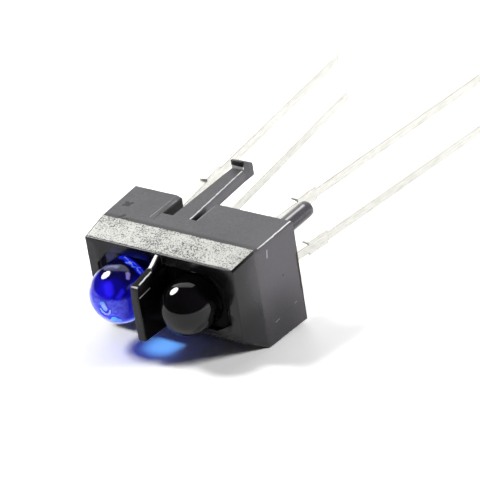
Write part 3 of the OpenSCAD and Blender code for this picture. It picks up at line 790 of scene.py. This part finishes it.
def soften(mesh: BMesh, radius: float, chosen: Callable[[Vector], bool], segments: int = 3) -> None:
    """Rounds the sharp outer edges whose middle is chosen.

    Args:
        mesh: the bmesh that is changed.
        radius: the round's radius in millimetres.
        chosen: takes an edge's middle in millimetres and says whether it is rounded.
        segments: faces across the round.
    """
    edges = [
        e
        for e in mesh.edges
        if len(e.link_faces) == 2
        and e.calc_face_angle_signed(0.0) > radians(SHARP_DEG)
        and chosen((e.verts[0].co + e.verts[1].co) / (2 * MM))
    ]
    round_edges(mesh, edges, radius, segments, clamped=True)


def on_plane(y: float, depth: float) -> bool:
    """Whether a place, in metres, lies a depth of so many millimetres towards -Y."""
    return abs(y + depth * MM) < ON_PLANE_MM * MM


def dress(node: str, material: Material) -> None:
    """Gives a CAD node that stays as it is a better finish.

    Args:
        node: the CAD node's name.
        material: its finish.
    """
    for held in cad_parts[node].material_slots:
        held.material = material
    log.info("%s: %s", node, material.name)


@dataclass
class Packages:
    """Where the two tilted lens bodies stand, in millimetres."""

    from_middle: float = 2.58
    height: float = 0.42
    tilt_deg: float = 4.7

    def placed(self, side: Side) -> Matrix:
        """The matrix that puts a shape drawn round the Y axis, in metres, on a package's axis."""
        foot = Vector((side.value * self.from_middle, 0.0, self.height)) * MM
        return Matrix.Translation(foot) @ Matrix.Rotation(-side.value * radians(self.tilt_deg), 4, "Z")


@dataclass
class LensBody:
    """One cast lens body: a block with rounded long edges, a drafted barrel and a dome."""

    side: Side
    packages: Packages
    dome_r: float
    reach: float
    thick: float = 3.1
    wide: float = 3.5
    shoulder: float = 4.6
    rear: float = 2.0
    barrel_gap: float = 0.01
    edge_r: float = 0.3
    edge_steps: int = 6
    rear_r: float = 0.08
    rear_steps: int = 3
    turns: int = 96
    dome_steps: int = 28
    smooth_deg: float = 40.0

    def profile(self, mesh: BMesh) -> None:
        """Draws half an outline of dome and barrel as one chain of edges, in the XY plane.

        Args:
            mesh: the bmesh that takes it.
        """
        foot = min(self.dome_r, self.thick / 2 - self.barrel_gap)
        start = mesh.verts.new(Vector((foot, -self.shoulder, 0)) * MM)
        equator = mesh.verts.new(Vector((self.dome_r, -self.reach, 0)) * MM)
        mesh.edges.new((start, equator))
        bmesh.ops.spin(
            mesh,
            geom=[equator],
            cent=Vector((0, -self.reach, 0)) * MM,
            axis=(0, 0, 1),
            angle=-pi / 2,
            steps=self.dome_steps,
            use_duplicate=False,
        )

    def build(self, material: Material, slot: str) -> None:
        """Builds the lens body.

        Args:
            material: its finish.
            slot: a material slot's name; not used.
        """
        mesh = bmesh.new()
        self.profile(mesh)
        bmesh.ops.spin(
            mesh,
            geom=mesh.verts[:] + mesh.edges[:],
            cent=(0, 0, 0),
            axis=(0, 1, 0),
            angle=2 * pi,
            steps=self.turns,
            use_merge=True,
        )
        bmesh.ops.remove_doubles(mesh, verts=mesh.verts, dist=ON_PLANE_MM * MM)
        rim = [e for e in mesh.edges if len(e.link_faces) == 1]
        block = bmesh.ops.create_cube(mesh, size=1.0)["verts"]
        bmesh.ops.scale(mesh, verts=block, vec=Vector((self.thick, self.shoulder - self.rear, self.wide)) * MM)
        bmesh.ops.translate(mesh, verts=block, vec=Vector((0, -(self.shoulder + self.rear) / 2, 0)) * MM)
        corners, half = set(block), (self.shoulder - self.rear) / 2 * MM
        along = [e for e in mesh.edges if corners.issuperset(e.verts) and abs(e.verts[0].co.y - e.verts[1].co.y) > half]
        round_edges(mesh, along, self.edge_r, self.edge_steps)
        # The block's front is the one many-sided face at the shoulder. The barrel's rim takes its place.
        front = [
            f
            for f in mesh.faces
            if len(f.verts) > 4 * self.edge_steps and all(on_plane(v.co.y, self.shoulder) for v in f.verts)
        ]
        around = [e for f in front for e in f.edges]
        bmesh.ops.delete(mesh, geom=front, context="FACES_ONLY")
        bmesh.ops.bridge_loops(mesh, edges=rim + around)
        rear_rim = [e for e in mesh.edges if all(on_plane(v.co.y, self.rear) for v in e.verts)]
        round_edges(mesh, rear_rim, self.rear_r, self.rear_steps)
        bmesh.ops.recalc_face_normals(mesh, faces=mesh.faces)
        bmesh.ops.transform(mesh, matrix=self.packages.placed(self.side), verts=mesh.verts)
        name = self.side.name.lower()
        finish_piece(mesh, f"{name}_cast_lens", material, f"{name}_lens_body", self.smooth_deg)


@dataclass
class ChipSet:
    """What is cast into one lens body: its chip, glue and bond wire, which keep their CAD solids."""

    side: Side
    packages: Packages
    chip_front: float
    face: str

    def build(self, glue: Material, wire: Material) -> None:
        """Dresses the chip, its glue and its wire.

        Args:
            glue: the glue's finish.
            wire: the bond wire's finish.
        """
        name = self.side.name.lower()
        centre = self.packages.placed(self.side) @ (Vector((0, -self.chip_front, 0)) * MM)
        dress(f"{name}_chip", ChipFace(f"{name}_chip_face", self.face).build(centre))
        dress(f"{name}_chip_glue", glue)
        dress(f"{name}_bond_wire", wire)


@dataclass
class Housing:
    """The black clip-in moulding: its CAD form with the mould's rounds on the edges that catch light."""

    face_depth: float = 4.95
    face_margin: float = 0.01
    seat_margin: float = 0.02
    barrier_round: float = 0.09
    barrier_steps: int = 4
    hook_round: float = 0.06
    hook_reach: float = 2.0

    def build(self, material: Material) -> None:
        """Copies the housing, rounds the barrier before its face and the hooks behind it, and dresses it.

        Args:
            material: its finish.
        """
        face = -self.face_depth - self.face_margin
        mesh = merged_copy("housing")
        soften(mesh, self.barrier_round, lambda at: at.y < face, self.barrier_steps)
        soften(mesh, self.hook_round, lambda at: at.y > self.seat_margin and abs(at.x) < self.hook_reach)
        finish_piece(mesh, "clip_in_housing", material, "housing")


@dataclass
class Leads:
    """The four tinned leads, with the small rounds that stamping and tinning leave."""

    names: tuple[str, ...] = (
        "emitter_anode_lead",
        "emitter_cathode_lead",
        "detector_collector_lead",
        "detector_emitter_lead",
    )
    stamped_round: float = 0.06

    def build(self, material: Material) -> None:
        """Copies, rounds and dresses each lead.

        Args:
            material: their finish.
        """
        for name in self.names:
            mesh = merged_copy(name)
            soften(mesh, self.stamped_round, lambda at: at.y > 0.0)
            finish_piece(mesh, name.replace("_lead", "_tinned_lead"), material, name)


class Shine(Enum):
    """What a light reaches, with its distance in millimetres: the cards hang in front of the lamps."""

    MATT_ONLY = 220.0
    GLOSS_ONLY = 180.0


@dataclass(frozen=True)
class SoftLight:
    """A round lamp or reflection card: azimuth 0 is towards -Y and 90 towards +X; a level of 1 is white."""

    name: str
    azimuth: float
    elevation: float
    half_angle: float
    level: float
    shine: Shine


@dataclass
class Studio:
    """Camera, lamps, white floor and the surroundings, in millimetres; a level of 1 is white."""

    sensor_mm: float = 36.0
    lens_mm: float = 225.0
    nearest_mm: float = 1.0
    camera_at: Point = (88.14223, -104.14971, 78.34828)
    right: Point = (0.80937596, 0.57063334, -0.13888177)
    up: Point = (-0.19004892, 0.47824194, 0.85741825)
    floor_radius: float = 150.0
    floor_steps: int = 128
    # The two edges that the part rests on, as Y and Z.
    fold_edge: Pair = (-3.09, -2.92)
    barb_edge: Pair = (3.6, -3.40)
    ceiling: float = 0.03
    horizon: Pair = (0.02, 0.08)
    board_bounce: float = 0.8
    board_mirrored: float = 0.95
    board_seen: float = 1.48
    lights: tuple[SoftLight, ...] = (
        SoftLight("key_lamp", -73.0, 58.0, 7.0, 34.9, Shine.MATT_ONLY),
        SoftLight("key_card", -90.0, 46.0, 13.5, 26.0, Shine.GLOSS_ONLY),
        SoftLight("right_lamp", 118.0, 18.0, 6.5, 76.0, Shine.MATT_ONLY),
        SoftLight("back_top_lamp", 180.0, 55.0, 14.0, 1.7, Shine.MATT_ONLY),
        SoftLight("back_left_lamp", -136.0, 21.0, 20.0, 3.8, Shine.MATT_ONLY),
        SoftLight("back_left_card", -150.0, 30.0, 34.0, 1.2, Shine.GLOSS_ONLY),
    )

    def camera(self) -> None:
        """Puts the camera where the photograph was taken from."""
        data = bpy.data.cameras.new("photo_camera")
        data.sensor_width = self.sensor_mm
        data.lens = self.lens_mm
        data.clip_start = self.nearest_mm * MM
        camera = bpy.data.objects.new("photo_camera", data)
        x, y = Vector(self.right), Vector(self.up)
        turn = Matrix((x, y, x.cross(y))).transposed().to_4x4()
        camera.matrix_world = Matrix.Translation(Vector(self.camera_at) * MM) @ turn
        bpy.context.scene.collection.objects.link(camera)
        bpy.context.scene.camera = camera

    def hang(self, light: SoftLight) -> None:
        """Hangs a round soft lamp that faces the object, or a card that only gloss and glass show.

        Args:
            light: its place, size and level.
        """
        az, el = radians(light.azimuth), radians(light.elevation)
        direction = Vector((cos(el) * sin(az), -cos(el) * cos(az), sin(el)))
        away = light.shine.value * MM
        radius = away * tan(radians(light.half_angle))
        data = bpy.data.lights.new(light.name, "AREA")
        data.shape = "DISK"
        data.size = 2 * radius
        data.energy = light.level * pi * pi * radius**2
        lamp = bpy.data.objects.new(light.name, data)
        turn = direction.to_track_quat("Z", "Y").to_matrix().to_4x4()
        lamp.matrix_world = Matrix.Translation(direction * away) @ turn
        lamp.visible_camera = False
        lamp.visible_diffuse = light.shine is Shine.MATT_ONLY
        lamp.visible_glossy = light.shine is Shine.GLOSS_ONLY
        lamp.visible_transmission = light.shine is Shine.GLOSS_ONLY
        bpy.context.scene.collection.objects.link(lamp)

    def floor(self) -> None:
        """Lays the white floor under the part, tilted so that the part rests on it nose-down."""
        run, rise = self.barb_edge[0] - self.fold_edge[0], self.barb_edge[1] - self.fold_edge[1]
        mesh = bmesh.new()
        bmesh.ops.create_circle(mesh, cap_ends=True, segments=self.floor_steps, radius=self.floor_radius * MM)
        slope = Matrix.Rotation(Vector((run, rise)).angle_signed(Vector((1, 0))), 4, "X")
        place = Matrix.Translation(Vector((0, *self.fold_edge)) * MM) @ slope
        bmesh.ops.transform(mesh, matrix=place, verts=mesh.verts)
        data = bpy.data.meshes.new("white_floor")
        mesh.to_mesh(data)
        mesh.free()
        data.materials.append(self.floor_finish())
        floor = bpy.data.objects.new("white_floor", data)
        bpy.context.scene.collection.objects.link(floor)

    # Pressed card with a matt white coat: it has no gloss, and it fades to the white of the background.
    def floor_finish(self) -> Material:
        """Makes the floor's finish: pale to the lamps' bounce and white to the eye, with the part's shadow kept.

        Returns:
            The material.
        """
        material, tree = new_material("matt_white_board")
        path = add_node(tree, Node.LIGHT_PATH).outputs
        either = {0: path["Is Glossy Ray"], 1: path["Is Transmission Ray"]}
        mirrored = add_node(tree, Node.MATHS, LARGER, either).outputs[0]
        shade = grey(self.board_bounce)
        for seen, level in ((mirrored, self.board_mirrored), (path["Is Camera Ray"], self.board_seen)):
            shade = add_node(tree, Node.MIX, COLOURS, layers(seen, shade, grey(level))).outputs[2]
        board = add_node(tree, Node.DIFFUSE, None, {"Color": shade})
        add_node(tree, Node.OUTPUT, None, {"Surface": board.outputs[0]})
        return material

    def surroundings(self) -> None:
        """Sets the world: white to the camera and below the horizon, dim above it for everything else."""
        world = bpy.data.worlds.new("studio")
        world.use_nodes = True
        tree = world.node_tree
        tree.nodes.clear()
        seen = add_node(tree, Node.LIGHT_PATH).outputs["Is Camera Ray"]
        way = add_node(tree, Node.COORDINATES).outputs["Generated"]
        height = add_node(tree, Node.SEPARATE, None, {0: way}).outputs["Z"]
        dimmed = span(self.horizon, (1.0, self.ceiling))
        ceiling = add_node(tree, Node.RANGE, SMOOTH, {"Value": height, **dimmed}).outputs[0]
        level = add_node(tree, Node.MATHS, LARGER, {0: ceiling, 1: seen}).outputs[0]
        sky = add_node(tree, Node.BACKGROUND, None, {"Color": grey(1.0), "Strength": level})
        add_node(tree, Node.WORLD_OUTPUT, None, {"Surface": sky.outputs[0]})
        bpy.context.scene.world = world

    def build(self) -> None:
        """Sets up the whole studio."""
        bpy.context.scene.view_settings.view_transform = "Standard"
        self.camera()
        for light in self.lights:
            self.hang(light)
        self.floor()
        self.surroundings()


def main() -> None:
    """Builds and dresses the sensor, piece by piece."""
    packages = Packages()
    Studio().build()
    Housing().build(MouldedBlackPlastic().build())
    dress("marking_foil", HotStampedFoil().build())
    LensBody(Side.EMITTER, packages, dome_r=1.6, reach=5.95).build(ClearBlueEpoxy().build(), "clear_blue_epoxy")
    LensBody(Side.DETECTOR, packages, dome_r=1.47, reach=5.76).build(BlackEpoxy().build(), "black_epoxy")
    Leads().build(TinPlate().build())
    glue = PlainMetal("silver_filled_glue", "#a3a3a0", "#7d7d7a", 0.3, (0.55, 0.67), grain_mm=0.04).build()
    gold = PlainMetal("gold_bond_wire", "#e0b75a", "#c79a3e", 1.0, (0.2, 0.32), grain_mm=0.05).build()
    ChipSet(Side.EMITTER, packages, chip_front=3.71, face="#4a4450").build(glue, gold)
    ChipSet(Side.DETECTOR, packages, chip_front=3.96, face="#343a4c").build(glue, gold)


if __name__ == "__main__":
    main()
